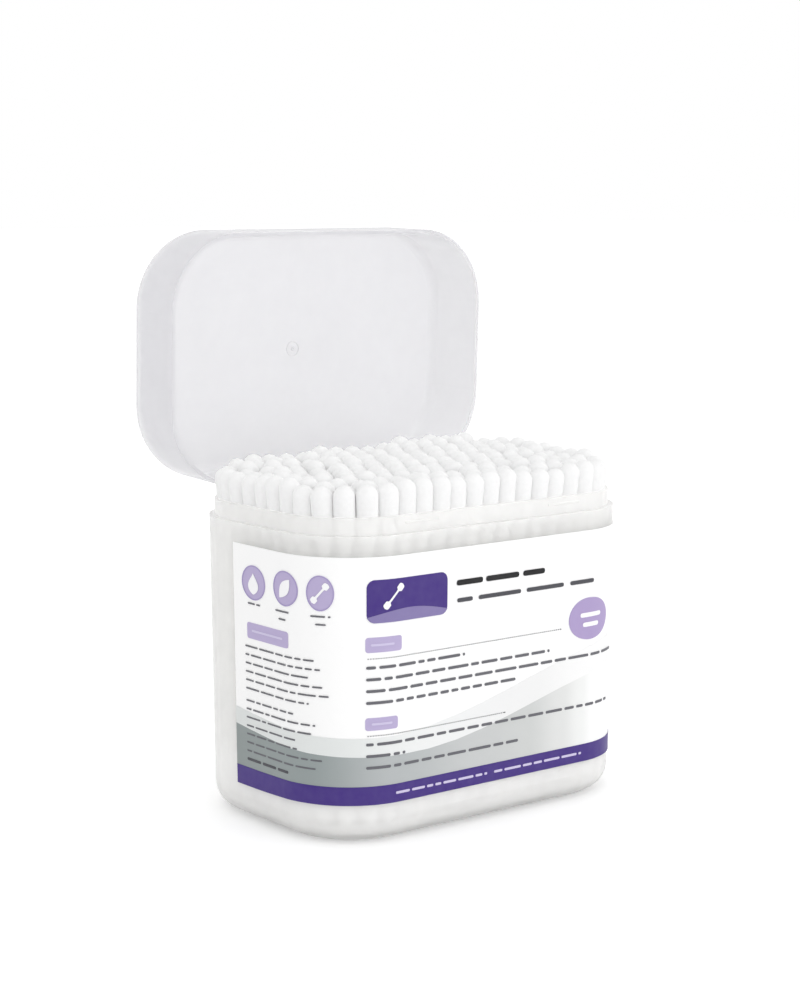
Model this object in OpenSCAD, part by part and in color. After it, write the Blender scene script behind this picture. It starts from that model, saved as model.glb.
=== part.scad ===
// Cotton swab box: a translucent moulded tub with a snap-hinged flip lid, a wrap-round label,
// and two hundred double-tipped swabs: three rows that follow the wall, and six in the middle.
// Lengths are in millimetres. X runs along the front, the front faces -Y, and the box stands on z = 0.

/* [Tub] */
// Width of the tub at its shoulder
box_w = 88.6; // [80:0.2:100]
// Depth of the tub at its shoulder, front to back
box_d = 57.6; // [54:0.2:64]
// Corner radius of the tub in plan, at its shoulder
corner_r = 18; // [17:0.5:20]
// Height of the shoulder that the closed lid sits on
shoulder_h = 66; // [60:0.5:72]
// Mould draft of the walls, degrees from upright
draft = 0.7; // [0.3:0.1:1]
// Thickness of the tub wall below its shoulder
wall_t = 1.1; // [1:0.05:1.3]
// Thickness of the tub floor
floor_t = 1.5; // [1.2:0.1:2.5]
// Outer rounding where the wall meets the base
base_fillet = 6; // [4:0.5:7]
// Inner rounding where the wall meets the floor
floor_fillet = 2; // [1:0.25:2.25]
// Height of the neck collar above the shoulder
collar_h = 3.8; // [3:0.1:5]
// Step from the outer wall in to the neck collar
collar_inset = 1.2; // [1.1:0.05:1.3]
// Thickness of the neck collar
collar_t = 0.6; // [0.5:0.05:0.7]
// Height over which the inner wall steps in to the collar, below the shoulder
jog_h = 1.4; // [1:0.1:2]
// Bevel round the collar's top edge
collar_bevel = 0.25; // [0.1:0.05:0.4]

/* [Lid] */
// Height of the lid's skirt, from its rim to its top
lid_h = 17.2; // [14.5:0.1:20]
// Thickness of the lid's skirt
lid_wall = 0.9; // [0.7:0.05:0.95]
// Thickness of the lid's top
lid_top_t = 1.1; // [0.9:0.1:1.6]
// Outer rounding between skirt and top
lid_fillet = 2.8; // [2:0.1:4]
// Gap between the lid's rim and the shoulder when closed
seam_gap = 0.15; // [0.1:0.05:0.3]
// Angle that the lid stands open
open_angle = 88; // [75:1:95]
// Diameter of the dished gate mark in the lid's middle
gate_d = 4.4; // [3:0.2:6]
// Depth of the gate mark
gate_depth = 0.3; // [0.1:0.05:0.4]

/* [Hinge] */
// Distance of the hinge axis behind the back wall
hinge_back = 3.1; // [3:0.05:3.6]
// Height of the hinge axis above the shoulder
hinge_rise = 0.5; // [0.4:0.05:0.8]
// Diameter of the moulded hinge pins
pin_d = 2.4; // [2:0.1:2.6]
// Radial running clearance of a pin in its clip
pin_clear = 0.05; // [0.03:0.01:0.08]
// Wall round the bore of a lid clip
clip_wall = 1.1; // [0.9:0.05:1.2]
// Width of a lid clip along the axis
clip_w = 8; // [6:0.5:10]
// Mouth of the clip, which snaps over the pin
clip_mouth = 1.9; // [1.5:0.1:1.95]
// Thickness of a hinge ear on the tub
ear_t = 1.6; // [1.2:0.1:2]
// Side gap between a clip and the ears beside it
ear_gap = 0.25; // [0.15:0.05:0.4]
// Distance between the middles of the two hinges
hinge_spread = 30; // [26:1:36]
// Gap left between the lid's heel and the back wall when open
stop_gap = 0.08; // [0.05:0.01:0.15]

/* [Snap beads] */
// Length of each snap bead
bead_len = 9; // [6:0.5:12]
// Distance between the middles of the two beads
bead_spread = 40; // [24:1:42]
// Radius of the beads' rounded ridge
bead_r = 0.35; // [0.3:0.01:0.36]
// How far a collar bead stands proud
collar_bead_out = 0.15; // [0.1:0.01:0.16]
// How far a lid bead stands proud
lid_bead_out = 0.1; // [0.06:0.01:0.11]
// Height of the collar beads above the shoulder
collar_bead_z = 2.2; // [2:0.1:2.6]
// Height of the lid beads above the lid's rim
lid_bead_z = 1.1; // [0.9:0.05:1.2]

/* [Swabs] */
// Length of a swab over both tips
swab_len = 75; // [70:0.5:77]
// Diameter of a cotton tip
tip_d = 4.51; // [4.3:0.01:4.52]
// Length of a cotton tip
tip_len = 13; // [11:0.5:16]
// Length of a tip's rounded nose
nose_len = 2.4; // [1.8:0.1:3]
// Length over which a tip thins down to its stem
neck_len = 4.5; // [3:0.25:6]
// Thickness of the cotton at the thin end of a tip
neck_t = 0.35; // [0.2:0.05:0.5]
// Diameter of the rolled paper stem
stem_d = 2.3; // [2:0.05:2.6]
// Clearance round the stem inside a tip
stem_clear = 0.05; // [0.02:0.01:0.1]
// Cotton beyond the stem's end
nose_cover = 2; // [1.5:0.1:3]
// Least gap between neighbouring tips
tip_gap = 0.07; // [0.05:0.01:0.2]
// Least gap between a tip and the tub wall
tip_side_gap = 0.15; // [0.1:0.01:0.3]

/* [Label] */
// Thickness of the label film
label_t = 0.15; // [0.1:0.01:0.3]
// Layer of adhesive behind the label
glue_t = 0.02; // [0.01:0.01:0.05]
// Height of the label's lower edge
label_bottom = 9.4; // [8:0.1:11]
// Height of the label's upper edge
label_top = 61.7; // [50:0.1:62]
// Distance from the front's middle round to each end of the label
label_reach = 72.3; // [60:0.1:74]
// Thickness of the printed fields
print_t = 0.05; // [0.03:0.01:0.1]
// Gap between the film and the printed fields
print_gap = 0.02; // [0.01:0.01:0.03]
// Height of the purple band along the label's foot
band_h = 3.3; // [2:0.1:5]
// Height of a line of small print
print_line_h = 0.9; // [0.6:0.1:1.2]

/* [Hidden] */
$fn = 64;
WALL_ROWS = 3;
INNER_ROWS = 6;
ROWS = WALL_ROWS + INNER_ROWS;
function two(i) = i < 10 ? str("0", i) : str(i);

slope = tan(draft);
corner_x = box_w/2 - corner_r;
corner_y = box_d/2 - corner_r;
rim_z = shoulder_h + collar_h;
seam_z = shoulder_h + seam_gap;
lid_top_z = seam_z + lid_h;
hinge_y = box_d/2 + hinge_back;
hinge_z = shoulder_h + hinge_rise;
bore_r = pin_d/2 + pin_clear;
clip_r = bore_r + clip_wall;
corner_arc = corner_r*PI/2;
flat_end = corner_x + corner_arc;
margin = 1;

// Distance of the tub's outer wall from its corner centre at height z
function wall_r(z) = corner_r - slope*(shoulder_h - z);
// Distance of the lid's outer skirt from its corner centre at height z, lid closed
function skirt_r(z) = corner_r - slope*(z - seam_z);

// Carries an outline, drawn outwards from the corner centre, round the rounded rectangle
module carried_round() {
    for (q = [0:3]) {
        across = q % 2 == 0 ? corner_x : corner_y;
        along = q % 2 == 0 ? corner_y : corner_x;
        rotate([0, 0, 90*q]) translate([across, along, 0]) {
            rotate_extrude(angle = 90) children();
            rotate([90, 0, 0]) linear_extrude(2*along) children();
        }
    }
}

module middle_slab(z, t) {
    translate([-corner_x, -corner_y, z]) cube([2*corner_x, 2*corner_y, t]);
}

// Tub

module tub_outline() {
    foot_x = wall_r(base_fillet) - base_fillet/cos(draft);
    collar_r = corner_r - collar_inset;
    polygon([
        [0, 0], [foot_x, 0],
        [foot_x + base_fillet*cos(draft), base_fillet*(1 - sin(draft))],
        [corner_r, shoulder_h], [collar_r, shoulder_h],
        [collar_r, rim_z - collar_bevel], [collar_r - collar_bevel, rim_z], [0, rim_z]]);
    translate([foot_x, base_fillet]) circle(base_fillet);
}

module tub_hollow_outline() {
    low_z = floor_t + floor_fillet;
    jog_low = shoulder_h - jog_h - seam_gap;
    collar_inner = corner_r - collar_inset - collar_t;
    low_x = wall_r(low_z) - wall_t - floor_fillet/cos(draft);
    polygon([
        [-margin, floor_t], [low_x, floor_t],
        [low_x + floor_fillet*cos(draft), low_z - floor_fillet*sin(draft)],
        [wall_r(jog_low) - wall_t, jog_low], [collar_inner, jog_low + jog_h],
        [collar_inner, rim_z + margin], [-margin, rim_z + margin]]);
    translate([low_x, low_z]) circle(floor_fillet);
}

module tub_shell() {
    carried_round() difference() {
        tub_outline();
        tub_hollow_outline();
    }
    middle_slab(0, floor_t);
}

// A hinge ear, seen from its side: a round end about the axis on a gusset that runs down the back wall.
// The gusset starts below the shoulder, so that the shut lid's rim passes it.
module ear_outline() {
    root = -hinge_back - wall_t/2;
    under_rim = -hinge_rise - seam_gap;
    circle(clip_r);
    polygon([
        [root, 2*under_rim], [-hinge_back, under_rim], [clip_r*cos(140), clip_r*sin(140)],
        [clip_r*cos(-50), clip_r*sin(-50)], [root, -3.6*clip_r]]);
}

// Stands an outline drawn in (y, z) about the hinge axis on the axis, centred on x and w wide
module on_axis(x, w) {
    translate([x - w/2, hinge_y, hinge_z]) rotate([90, 0, 90]) linear_extrude(w) children();
}

module hinge_ears(x) {
    offset_x = clip_w/2 + ear_gap + ear_t/2;
    for (side = [-1, 1]) on_axis(x + side*offset_x, ear_t) ear_outline();
    on_axis(x, clip_w + 2*ear_gap + 2*ear_t) circle(pin_d/2);
}

// A rounded ridge along X, its axis at y and z
module bead(x, y, z) {
    translate([x - bead_len/2, y, z]) rotate([0, 90, 0]) cylinder(h = bead_len, r = bead_r);
}

module tub() {
    collar_front = -(box_d/2 - collar_inset);
    color([0.93, 0.94, 0.95]) {
        tub_shell();
        for (side = [-1, 1]) {
            hinge_ears(side*hinge_spread/2);
            bead(side*bead_spread/2, collar_front + bead_r - collar_bead_out, shoulder_h + collar_bead_z);
        }
    }
}

// Lid, built closed and then swung open about the hinge axis

module lid_outline() {
    round_z = lid_top_z - lid_fillet;
    round_x = skirt_r(round_z) - lid_fillet/cos(draft);
    polygon([
        [0, seam_z], [corner_r, seam_z],
        [round_x + lid_fillet*cos(draft), round_z + lid_fillet*sin(draft)],
        [round_x, lid_top_z], [0, lid_top_z]]);
    translate([round_x, round_z]) circle(lid_fillet);
}

module lid_hollow_outline() {
    ceiling_z = lid_top_z - lid_top_t;
    round = lid_fillet - lid_wall;
    round_z = ceiling_z - round;
    round_x = skirt_r(round_z) - lid_wall - round/cos(draft);
    polygon([
        [-margin, seam_z - margin], [skirt_r(seam_z - margin) - lid_wall, seam_z - margin],
        [round_x + round*cos(draft), round_z + round*sin(draft)],
        [round_x, ceiling_z], [-margin, ceiling_z]]);
    translate([round_x, round_z]) circle(round);
}

module lid_shell() {
    carried_round() difference() {
        lid_outline();
        lid_hollow_outline();
    }
    difference() {
        middle_slab(lid_top_z - lid_top_t, lid_top_t);
        translate([0, 0, lid_top_z - gate_depth]) cylinder(h = gate_depth + margin, d = gate_d);
    }
    translate([0, 0, lid_top_z - lid_top_t/2]) cylinder(h = lid_top_t/2 - gate_depth/3, d = gate_d/4);
}

// A snap clip, seen from its side: a ring with a mouth, and an arm that reaches in to the skirt
module clip_outline() {
    difference() {
        union() {
            circle(clip_r);
            translate([-hinge_back - lid_wall/2, 0]) square([hinge_back + lid_wall/2, clip_r]);
        }
        circle(bore_r);
        translate([0, -clip_mouth/2]) square([clip_r + margin, clip_mouth]);
    }
}

// The heel meets the back wall and holds the lid at its open angle. It is drawn with the lid open.
module heel_outline() {
    reach = hinge_back - stop_gap;
    inner = bore_r + clip_wall/4;
    translate([-reach, -0.85*clip_r]) square([reach - inner, 0.8*clip_r]);
}

module swung(angle) {
    translate([0, hinge_y, hinge_z]) rotate([-angle, 0, 0]) translate([0, -hinge_y, -hinge_z]) children();
}

module lid() {
    skirt_front = -(box_d/2 - lid_wall);
    color([0.95, 0.96, 0.97]) {
        swung(open_angle) {
            lid_shell();
            for (side = [-1, 1]) {
                on_axis(side*hinge_spread/2, clip_w) clip_outline();
                bead(side*bead_spread/2, skirt_front - bead_r + lid_bead_out, seam_z + lid_bead_z);
            }
        }
        for (side = [-1, 1]) on_axis(side*hinge_spread/2, clip_w) heel_outline();
    }
}

// Label film and its print. A place on the label is given by s, the distance round the tub from the
// front's middle (left is negative), and by its height z.

// The layer between two distances off the wall, from z0 to z1, as an outline off the corner centre
module layer_outline(z0, z1, lift, t) {
    polygon([
        [wall_r(z0) + lift, z0], [wall_r(z0) + lift + t, z0],
        [wall_r(z1) + lift + t, z1], [wall_r(z1) + lift, z1]]);
}

// A piece of that layer on the right-hand corner and side, between s0 and s1. On the corner it is turned
// from the end that meets a flat, so that the two join without a step.
module right_layer(s0, s1, z0, z1, lift, t) {
    a = max(s0, corner_x);
    b = min(s1, flat_end);
    bend = 90*(b - a)/corner_arc;
    if (b > a) translate([corner_x, -corner_y, 0]) {
        if (s1 > flat_end) mirror([0, 1, 0]) rotate_extrude(angle = bend) layer_outline(z0, z1, lift, t);
        else rotate([0, 0, 90*(a - corner_x)/corner_arc - 90])
            rotate_extrude(angle = bend) layer_outline(z0, z1, lift, t);
    }
    c = max(s0, flat_end);
    if (s1 > c)
        translate([corner_x, s1 - flat_end - corner_y, 0]) rotate([90, 0, 0])
            linear_extrude(s1 - c) layer_outline(z0, z1, lift, t);
}

// A piece of a layer anywhere on the front, the front corners and the sides
module layer(s0, s1, z0, z1, lift, t) {
    a = max(s0, -corner_x);
    b = min(s1, corner_x);
    if (b > a)
        translate([b, -corner_y, 0]) rotate([90, 0, -90])
            linear_extrude(b - a) layer_outline(z0, z1, lift, t);
    right_layer(s0, s1, z0, z1, lift, t);
    mirror([1, 0, 0]) right_layer(-s1, -s0, z0, z1, lift, t);
}

print_lift = glue_t + label_t + print_gap;

module printed(s0, s1, z0, z1) {
    layer(s0, s1, z0, z1, print_lift, print_t);
}

// Turns and moves an outline drawn in (s, z) to face along the wall's outward direction at s
module facing(s) {
    side = sign(s);
    past = max(0, abs(s) - corner_x);
    turn = min(90, 90*past/corner_arc);
    along = max(0, past - corner_arc);
    translate([side*min(abs(s), corner_x), -corner_y + along, 0]) rotate([0, 0, side*turn])
        rotate([90, 0, 0]) linear_extrude(corner_r + 2*margin) children();
}

// A printed oval, given as [s, z, half width, half height]
module printed_oval(o) {
    intersection() {
        printed(o[0] - o[2] - margin, o[0] + o[2] + margin, o[1] - o[3] - margin, o[1] + o[3] + margin);
        facing(o[0]) translate([0, o[1]])
            polygon([for (k = [1:oval_sides]) let (a = 360*k/oval_sides) [o[2]*cos(a), o[3]*sin(a)]]);
    }
}

band_top = label_bottom + band_h;

// The two waves: where each edge runs lowest, how high it runs there above the band, how far it rises to
// the right and over what run, and how far it rises to the label's left end
light_low_s = -30;
light_low_z = 10.6;
light_rise = 15;
light_run = 80;
light_left_rise = 2.4;
dark_low_s = -22;
dark_low_z = 6.4;
dark_rise = 12;
dark_run = 67;
dark_left_rise = 2.8;

// Height of a wave's swept edge: a slow rise to the left of s_low and an easy S to its right
function ease(t) = let (u = min(1, max(0, t))) u*u*(3 - 2*u);
function swept(s, s_low, z_low, rise, run, left_rise) =
    s < s_low ? z_low + left_rise*pow((s_low - s)/(label_reach + s_low), 2)
              : z_low + rise*ease((s - s_low)/run);
function light_edge(s) =
    swept(s, light_low_s, band_top + light_low_z, light_rise, light_run, light_left_rise);
function dark_edge(s) =
    swept(s, dark_low_s, band_top + dark_low_z, dark_rise, dark_run, dark_left_rise);
wave_end = 36;
wave_step = 8;

// Distance along the wall from one place to another, cut into even steps
function steps(a, b, step) = let (n = max(2, ceil((b - a)/step))) [for (i = [0:n]) a + (b - a)*i/n];

// Where the place s lies across the outline that facing(at) stands up
function across_at(s, at) =
    abs(at) > corner_x && abs(at) < flat_end
        ? corner_r*sin(90*(s - at)/corner_arc) : s - at;

// The printed layer between two swept edges, over one flat or one corner of the wall
module wave_part(s0, s1, at, dark) {
    places = steps(s0, s1, wave_step);
    last = len(places) - 1;
    intersection() {
        printed(s0, s1, band_top, light_edge(wave_end) + margin);
        facing(at) polygon(concat(
            [for (s = places) [across_at(s, at), dark ? dark_edge(s) : light_edge(s)]],
            [for (i = [last:-1:0])
                [across_at(places[i], at), dark ? band_top - margin : dark_edge(places[i])]]));
    }
}

module wave(dark) {
    wave_part(-label_reach, -flat_end, -flat_end, dark);
    wave_part(-flat_end, -corner_x, -corner_x - corner_arc/2, dark);
    wave_part(-corner_x, corner_x, 0, dark);
    wave_part(corner_x, wave_end, corner_x + corner_arc/2, dark);
}

module label_film() {
    color([0.98, 0.98, 0.99]) layer(-label_reach, label_reach, label_bottom, label_top, glue_t, label_t);
}

// A corner to take off a field, as an outline with its point at the origin
module nick_outline(r) {
    difference() {
        translate([-margin, -margin]) square(r + margin);
        translate([r, r]) circle(r);
    }
}

// A printed tag with rounded corners, given as [left s, right s, lower z, upper z]
module printed_tag(tag, r) {
    w = tag[1] - tag[0];
    h = tag[3] - tag[2];
    intersection() {
        printed(tag[0] - margin, tag[1] + margin, tag[2] - margin, tag[3] + margin);
        facing(tag[0] + w/2) translate([0, tag[2] + h/2])
            polygon([for (q = [0:3], k = [0:4]) let (a = 90*q + 22.5*k)
                [(q % 3 == 0 ? 1 : -1)*(w/2 - r) + r*cos(a), (q < 2 ? 1 : -1)*(h/2 - r) + r*sin(a)]]);
    }
}

// Places of the print. A field is [left s, right s, lower z, upper z]; a bar is [left s, right s, z, height].
panel = [-34.5, -14.1, 47.8, 56.9];
panel_round = 1.8;
tags = [[-67.4, -52.5, 41.5, 45], [-34.7, -26.4, 41.6, 44.8], [-34.7, -27.3, 25, 27.7]];
tag_round = 0.6;
roundels = [[-64.7, 53.8, 4.3, 3.75], [-53.4, 54.2, 3.9, 3.75], [-44.3, 54.1, 3.1, 3.75]];
badge = [26.8, 41.8, 5.8, 4.7];
oval_sides = 40;
title_bars = [[-11.6, 13.5, 54.3, 2.1], [-11.6, 28.4, 50.3, 1.3]];
rules = [[-34.3, 18.7, 40.3, 0.2], [-34.3, 2.6, 23.85, 0.2]];
caption_z = 49;
caption_half = 2.6;

// Small print: the left end, the first line's height, the line pitch and the lines' right ends
front_left = -34.6;
front_pitch = 2.5;
front_upper_z = 38.4;
front_lower_z = 22;
front_upper_ends = [-9.1, 15.3, 37.3, 5.4];
front_lower_ends = [35.2, -25.2, 6.4];
side_left = -68.2;
side_pitch = 1.86;
side_upper_z = 39.7;
side_lower_z = 27.7;
side_upper_ends = [-45.8, -44.4, -47.2, -43.9, -42.5, -47.1];
side_lower_ends = [-51.3, -45.6, -46.6, -50.8, -50.3, -44.1, -45.6, -53.1];

module print_purple() {
    color([0.33, 0.25, 0.55]) {
        printed(-label_reach, label_reach, label_bottom, band_top);
        difference() {
            printed(panel[0], panel[1], panel[2], panel[3]);
            for (i = [0, 1], j = [0, 1])
                facing(panel[i]) translate([0, panel[2 + j]]) mirror([i, 0]) mirror([0, j])
                    nick_outline(panel_round);
        }
    }
}

module print_lilac() {
    color([0.70, 0.63, 0.82]) {
        for (o = concat(roundels, [badge])) printed_oval(o);
        for (tag = tags) printed_tag(tag, tag_round);
    }
}

module print_light_wave() {
    color([0.90, 0.91, 0.91]) wave(false);
}

module print_dark_wave() {
    color([0.62, 0.66, 0.66]) wave(true);
}

// A line of print as one bar, on top of the other printed fields
module bar(s0, s1, z, h) {
    layer(s0, s1, z - h/2, z + h/2, print_lift + print_t + print_gap, print_t);
}

// Bars from one left end to each of the right ends, one under another
module bars(left, ends, z_first, pitch) {
    for (i = [0:len(ends) - 1]) bar(left, ends[i], z_first - pitch*i, print_line_h);
}

module print_lines() {
    color([0.25, 0.25, 0.27]) {
        for (b = concat(title_bars, rules)) bar(b[0], b[1], b[2], b[3]);
        bars(front_left, front_upper_ends, front_upper_z, front_pitch);
        bars(front_left, front_lower_ends, front_lower_z, front_pitch);
        bars(side_left, side_upper_ends, side_upper_z, side_pitch);
        bars(side_left, side_lower_ends, side_lower_z, side_pitch);
        for (o = roundels) bar(o[0] - caption_half, o[0] + caption_half, caption_z, print_line_h);
    }
}

// Swabs, upright. The outer rows follow the wall, each a tip's pitch further in, and the inner rows nest.

foot_z = floor_t;
tip_pitch = tip_d + tip_gap;
// The swabs clear the drafted wall at their feet and the collar at their heads
pack_inset = tip_d/2 + tip_side_gap
    + max(wall_t + slope*(shoulder_h - foot_z - nose_len), collar_inset + collar_t);
function row_x(i) = box_w/2 - pack_inset - (i - 1)*tip_pitch;
function row_y(i) = box_d/2 - pack_inset - (i - 1)*tip_pitch;
function row_r(i) = max(0, corner_r - pack_inset - (i - 1)*tip_pitch);

// Half of a row that follows the wall: up its right side, round two corners and along the back.
// x and y are the row's half sizes, r is its corner radius and t the distance along it.
function half_way_round(x, y, r, t) =
    let (side = 2*(y - r), bend = PI*r/2, back = 2*(x - r),
        turn = 90*(t - side)/bend, second = 90 + 90*(t - side - bend - back)/bend)
    t < side ? [x, t - (y - r)]
    : t < side + bend ? [x - r + r*cos(turn), y - r + r*sin(turn)]
    : t < side + bend + back ? [x - r - (t - side - bend), y]
    : [r - x + r*cos(second), y - r + r*sin(second)];

// The other half is the first one turned about the middle
function wall_places(i) =
    let (x = row_x(i), y = row_y(i), r = row_r(i), half = 2*(x + y - 2*r) + PI*r,
        bent_pitch = PI*r*asin(tip_pitch/(2*r))/90, n = floor(2*half/bent_pitch), start = 0.25 + (i % 2)/2)
    [for (k = [0:n - 1]) let (t = (k + start)*2*half/n)
        t < half ? half_way_round(x, y, r, t) : -half_way_round(x, y, r, t - half)];

// The inner rows stand in the block that the outer rows leave
block_x = row_x(WALL_ROWS + 1);
block_y = row_y(WALL_ROWS + 1);
block_step = 2*block_y/(INNER_ROWS - 1);
least_pitch = max(tip_pitch, 2*sqrt(max(0, tip_pitch*tip_pitch - block_step*block_step)));
block_count = floor(2*block_x/least_pitch) + 1;
block_pitch = 2*block_x/(block_count - 1);
function block_places(k) =
    [for (j = [0:block_count - 1 - k % 2]) [(j + (k % 2)/2)*block_pitch - block_x, k*block_step - block_y]];

function places(i) = i <= WALL_ROWS ? wall_places(i) : block_places(i - WALL_ROWS - 1);

nose_steps = 5;
stem_bore_r = stem_d/2 + stem_clear;

// Outline of a cotton tip, nose at z = 0: a rounded nose, a full barrel and a neck down to the stem
function tip_points() = concat(
    [for (i = [0:nose_steps]) let (a = 90*i/nose_steps) [tip_d/2*sin(a), nose_len*(1 - cos(a))]],
    [for (t = [0, 0.5, 0.8, 1])
        [tip_d/2 - (tip_d/2 - stem_bore_r - neck_t)*t*t, tip_len - neck_len + neck_len*t]],
    [[stem_bore_r, tip_len], [stem_bore_r, nose_cover - stem_clear], [0, nose_cover - stem_clear]]);

module tip() {
    rotate_extrude() polygon(tip_points());
}

module swab_stems(i) {
    color([0.96, 0.96, 0.94]) for (p = places(i))
        translate([p[0], p[1], foot_z + nose_cover]) cylinder(h = swab_len - 2*nose_cover, d = stem_d);
}

module swab_top_tips(i) {
    color([0.99, 0.99, 0.99]) for (p = places(i))
        translate([p[0], p[1], foot_z + swab_len]) mirror([0, 0, 1]) tip();
}

module swab_bottom_tips(i) {
    color([0.99, 0.99, 0.99]) for (p = places(i)) translate([p[0], p[1], foot_z]) tip();
}

tub();
lid();
label_film();
print_purple();
print_lilac();
print_light_wave();
print_dark_wave();
print_lines();
for (i = [1:ROWS]) {
    swab_stems(i);
    swab_top_tips(i);
    swab_bottom_tips(i);
}
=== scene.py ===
import math

import bpy
import numpy as np
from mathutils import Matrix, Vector


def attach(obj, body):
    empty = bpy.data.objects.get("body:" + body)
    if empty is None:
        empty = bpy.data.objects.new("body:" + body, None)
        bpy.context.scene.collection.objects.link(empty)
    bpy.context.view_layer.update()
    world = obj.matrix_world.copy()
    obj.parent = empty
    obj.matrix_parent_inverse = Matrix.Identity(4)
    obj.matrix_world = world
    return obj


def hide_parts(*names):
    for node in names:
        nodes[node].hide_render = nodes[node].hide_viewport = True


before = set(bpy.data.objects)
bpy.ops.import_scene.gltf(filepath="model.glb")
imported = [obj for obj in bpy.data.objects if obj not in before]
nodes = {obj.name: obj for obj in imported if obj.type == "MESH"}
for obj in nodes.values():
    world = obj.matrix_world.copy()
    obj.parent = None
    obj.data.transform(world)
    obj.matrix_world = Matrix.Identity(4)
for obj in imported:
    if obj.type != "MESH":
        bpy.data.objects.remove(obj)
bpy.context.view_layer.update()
print("frame loaded:", len(nodes), "CAD nodes")

mm = 0.001
scene = bpy.context.scene
scene.view_settings.view_transform = "Standard"


# Camera, at the photograph's angle
viewpoint = {
    "azimuth": -38.33,  # degrees round from the front
    "elevation": 8.14,
    "distance": 489.0,
    "target": (-4.09, 0.0, 67.97),
    "lens": 78.8,
    "sensor": 36.0,
    "clip": (0.02, 50),  # metres
}


def placeCamera(v):
    # the camera stands back from its target along (sin a cos e, -cos a cos e, sin e), for azimuth a and
    # elevation e, and looks at the target with Z upright
    turn, rise = math.radians(v["azimuth"]), math.radians(v["elevation"])
    back = Vector((math.sin(turn) * math.cos(rise), -math.cos(turn) * math.cos(rise), math.sin(rise)))
    data = bpy.data.cameras.new("camera")
    data.sensor_width = v["sensor"]
    data.lens = v["lens"]
    data.clip_start, data.clip_end = v["clip"]
    camera = bpy.data.objects.new("camera", data)
    scene.collection.objects.link(camera)
    camera.location = (Vector(v["target"]) + back * v["distance"]) * mm
    camera.rotation_mode = "QUATERNION"
    camera.rotation_quaternion = (-back).to_track_quat("-Z", "Y")
    scene.camera = camera


placeCamera(viewpoint)


# Nodes and colours
def addNode(tree, kind, settings=None, links=None):
    # a key with a capital letter or a number is a socket, any other key is a property
    node = tree.nodes.new("ShaderNode" + kind)
    for key, value in (settings or {}).items():
        if isinstance(key, int) or key[0].isupper():
            node.inputs[key].default_value = value
        else:
            setattr(node, key, value)
    for key, socket in (links or {}).items():
        tree.links.new(socket, node.inputs[key])
    return node


def linearColour(hexCode):
    # each sRGB channel c becomes ((c + 0.055) / 1.055) to the power 2.4, or c / 12.92 near black
    channels = [int(hexCode[i : i + 2], 16) / 255 for i in (1, 3, 5)]
    return (*[c / 12.92 if c <= 0.04045 else ((c + 0.055) / 1.055) ** 2.4 for c in channels], 1.0)


def newMaterial(name):
    # a new material with its node tree and its Principled shader
    material = bpy.data.materials.new(name)
    material.use_nodes = True
    return material, material.node_tree, material.node_tree.nodes["Principled BSDF"]


def dress(name, material):
    # every material slot of the CAD node takes the one material
    materials = nodes[name].data.materials
    if len(materials) == 0:
        materials.append(material)
    for i in range(len(materials)):
        materials[i] = material


# World, lamps and floor: an even white studio, a little dimmer behind, with a soft lamp above in front and
# another low at the front right
studio = {
    "ambient": 0.98,
    "behind": 0.82,  # share of the ambient light that comes from straight behind
    "lamps": [
        {"name": "overhead", "place": (-100, -600, 900), "size": 700, "power": 0.8},
        {"name": "lowFront", "place": (400, -900, 90), "size": 500, "power": 1.4},
    ],
    "aim": (0, 0, 60),
    "floorSize": 12000,
    "floorDrop": 0.02,  # below the tub's foot, so that the two faces don't coincide
    "floorColour": "#FFFFFF",
    "floorLift": 0.22,  # added for the camera, so that the open floor reads as white
}


def whiteToTheEye(tree):
    # the largest of three ray flags: 1 where the camera, a reflection or a refraction looks, and 0 for light
    # that falls on things
    path = addNode(tree, "LightPath")
    seen = addNode(
        tree, "Math", {"operation": "MAXIMUM"},
        {0: path.outputs["Is Camera Ray"], 1: path.outputs["Is Glossy Ray"]},
    )
    return addNode(
        tree, "Math", {"operation": "MAXIMUM"},
        {0: seen.outputs[0], 1: path.outputs["Is Transmission Ray"]},
    ).outputs[0]


def lightStudio(s):
    # the world's strength is ambient + (1 - ambient) * white to the eye; each lamp is turned to the aim
    world = bpy.data.worlds.new("studio")
    world.use_nodes = True
    scene.world = world
    tree = world.node_tree
    background = tree.nodes["Background"]
    background.inputs["Color"].default_value = (1, 1, 1, 1)
    # the ambient light falls off evenly from the front, where Y is -1, to the back, where it is 1
    place = addNode(tree, "SeparateXYZ", {}, {0: addNode(tree, "TexCoord").outputs["Generated"]})
    ambient = addNode(
        tree, "MapRange",
        {"From Min": -1.0, "From Max": 1.0, "To Min": s["ambient"], "To Max": s["ambient"] * s["behind"]},
        {"Value": place.outputs["Y"]},
    )
    level = addNode(
        tree, "MapRange", {"To Max": 1.0}, {"Value": whiteToTheEye(tree), "To Min": ambient.outputs[0]}
    )
    tree.links.new(level.outputs[0], background.inputs["Strength"])
    for lamp in s["lamps"]:
        data = bpy.data.lights.new(lamp["name"], "AREA")
        data.size = lamp["size"] * mm
        data.energy = lamp["power"]
        piece = bpy.data.objects.new(lamp["name"], data)
        scene.collection.objects.link(piece)
        piece.location = Vector(lamp["place"]) * mm
        aim = Vector(s["aim"]) * mm - piece.location
        piece.rotation_euler = aim.to_track_quat("-Z", "Y").to_euler()


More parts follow.
